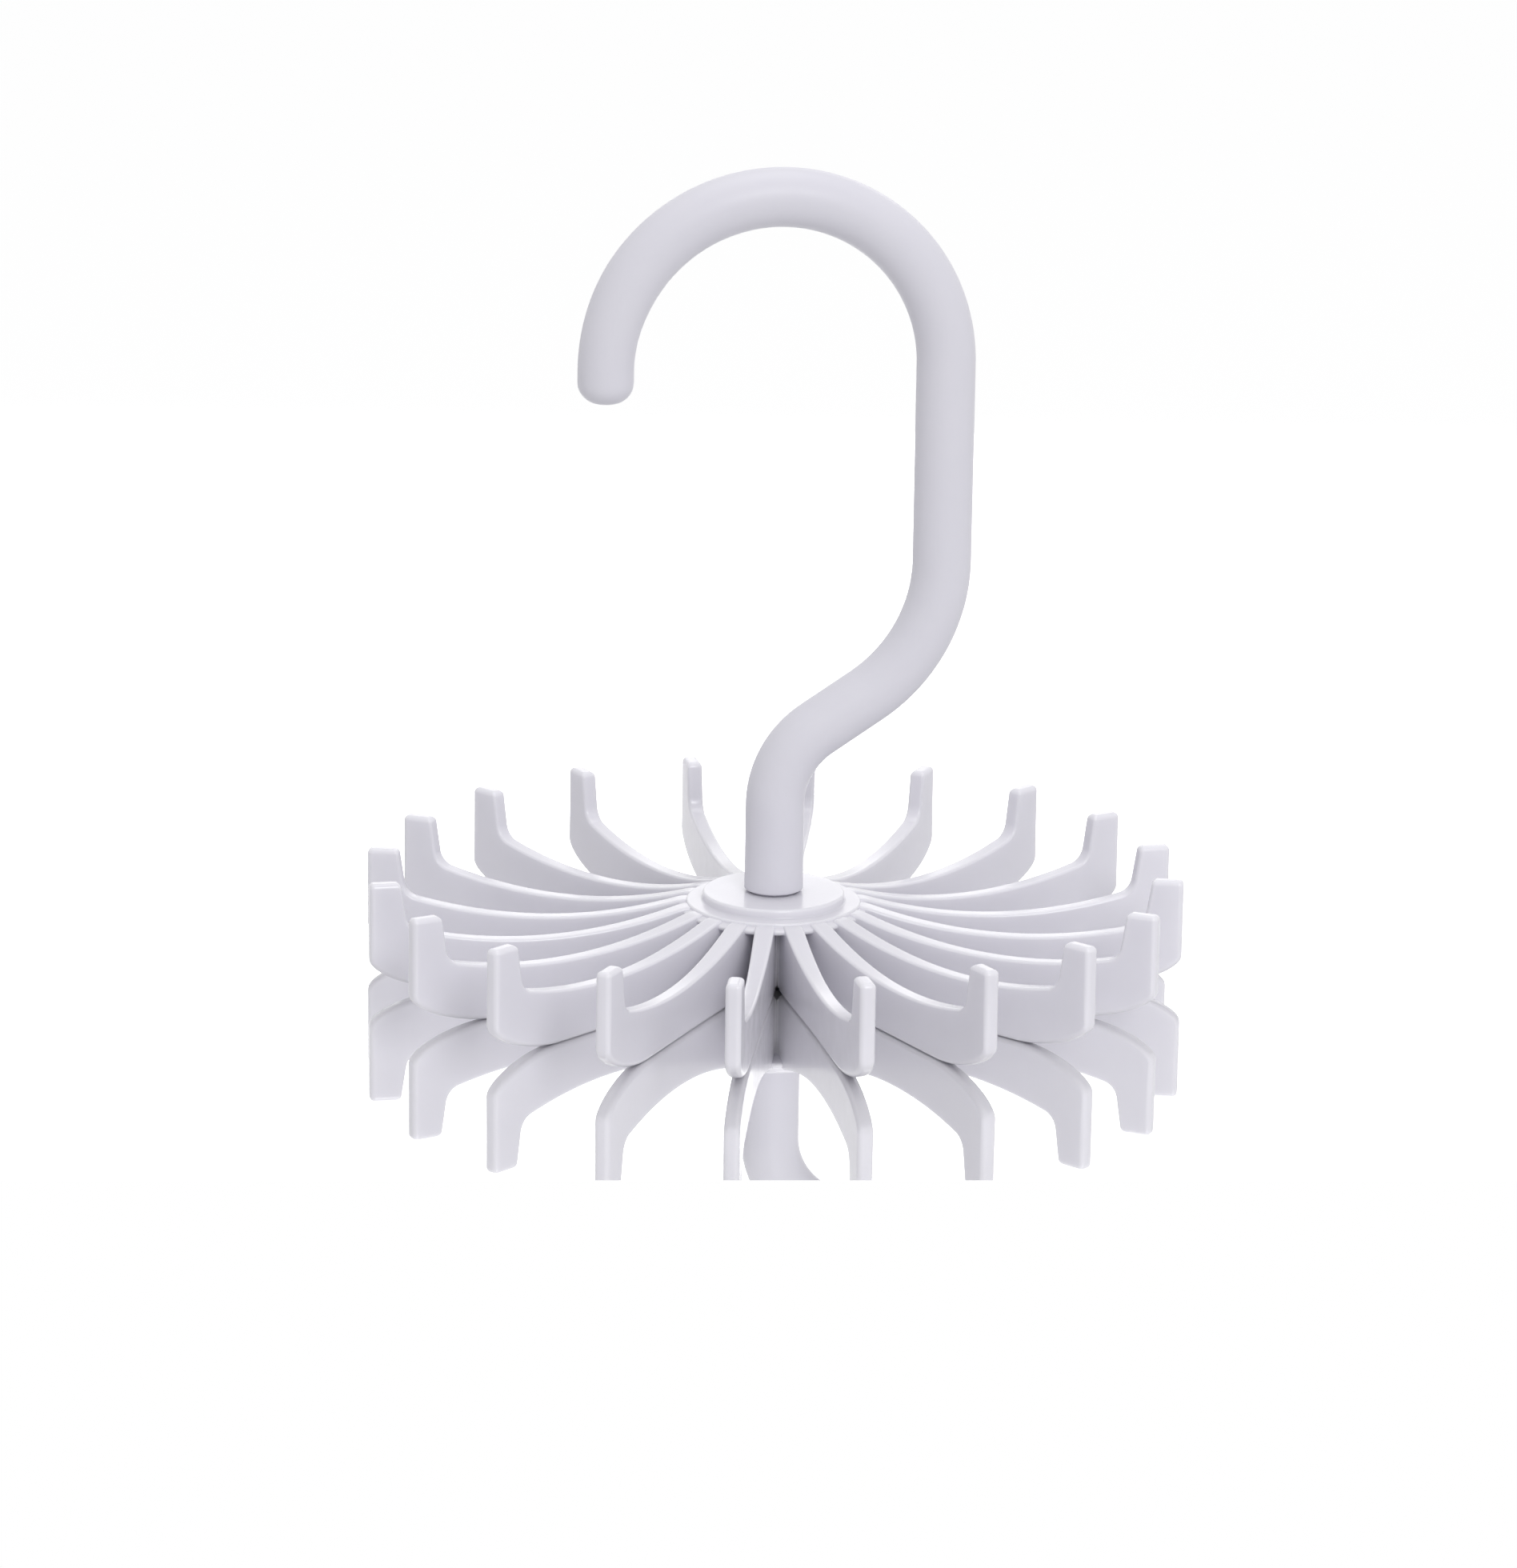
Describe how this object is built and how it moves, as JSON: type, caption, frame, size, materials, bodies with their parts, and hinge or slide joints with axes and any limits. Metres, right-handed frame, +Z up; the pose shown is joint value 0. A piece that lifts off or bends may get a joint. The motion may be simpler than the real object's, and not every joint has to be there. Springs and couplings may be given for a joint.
{
  "type": "tie hanger",
  "caption": "Rotating tie hanger: a wheel of upturned claws that spins freely under a round-rod wardrobe hook.",
  "frame": {"origin": "on the wheel's axis, in the plane of the claws' lower edges, on which the part stands", "axes": "+Z up along the wheel's axis, the hook in the XZ plane with its shank towards +X and its tip towards -X"},
  "size_m": [0.135, 0.135, 0.1348],
  "materials": {
    "hook_plastic": "smooth glossy injection-moulded white plastic with a faint lilac cast",
    "wheel_plastic": "smooth glossy injection-moulded white plastic with a faint lilac cast"
  },
  "bodies": {
    "hook": {"hook": "hook_plastic"},
    "wheel": {"hub": "wheel_plastic", "claw_01": "wheel_plastic", "claw_02": "wheel_plastic", "claw_03": "wheel_plastic", "claw_04": "wheel_plastic", "claw_05": "wheel_plastic", "claw_06": "wheel_plastic", "claw_07": "wheel_plastic", "claw_08": "wheel_plastic", "claw_09": "wheel_plastic", "claw_10": "wheel_plastic", "claw_11": "wheel_plastic", "claw_12": "wheel_plastic", "claw_13": "wheel_plastic", "claw_14": "wheel_plastic", "claw_15": "wheel_plastic", "claw_16": "wheel_plastic", "claw_17": "wheel_plastic", "claw_18": "wheel_plastic", "claw_19": "wheel_plastic", "claw_20": "wheel_plastic"}
  },
  "joints": [
    {"name": "wheel_spin", "type": "hinge", "parent": "hook", "child": "wheel", "pos_m": [0, 0, 0.01], "axis": [0, 0, 1], "continuous": true}
  ]
}
